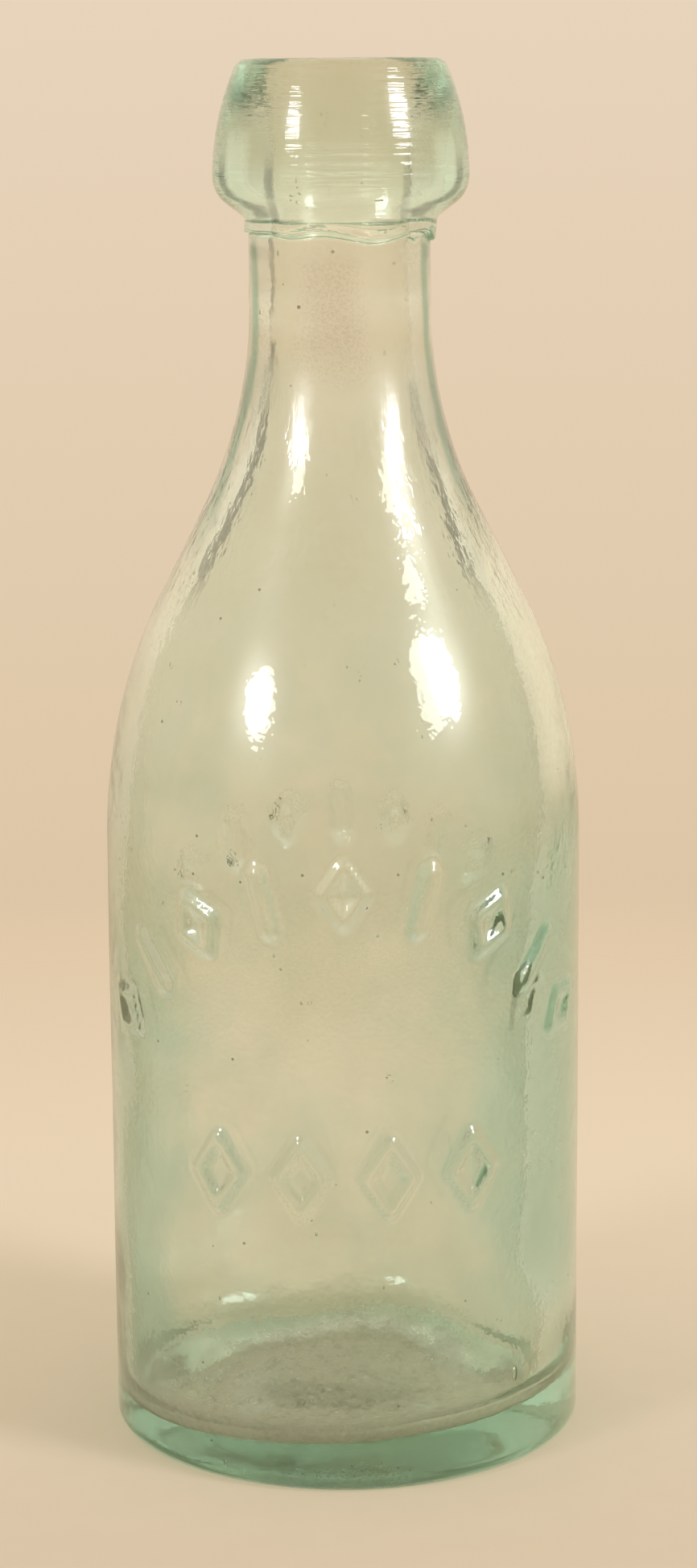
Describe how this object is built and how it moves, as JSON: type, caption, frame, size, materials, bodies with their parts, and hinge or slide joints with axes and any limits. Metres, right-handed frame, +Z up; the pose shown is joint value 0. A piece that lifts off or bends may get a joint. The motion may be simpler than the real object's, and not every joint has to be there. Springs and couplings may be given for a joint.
{
  "type": "soda bottle",
  "caption": "Blown glass soda bottle with a straight round body, a long sloping shoulder, a short neck and a thick applied blob lip.",
  "frame": {"origin": "middle of the foot, on the surface that the bottle stands on", "axes": "+Z up through the mouth, -Y towards the front with the raised ornament, +X to the right of the front"},
  "size_m": [0.0636, 0.0651, 0.184],
  "materials": {
    "aqua_glass": "clear pale aqua glass, fire polished, with seeds, light haze and a dull stain inside the base"
  },
  "bodies": {
    "root": {"bottle": "aqua_glass"}
  },
  "joints": []
}
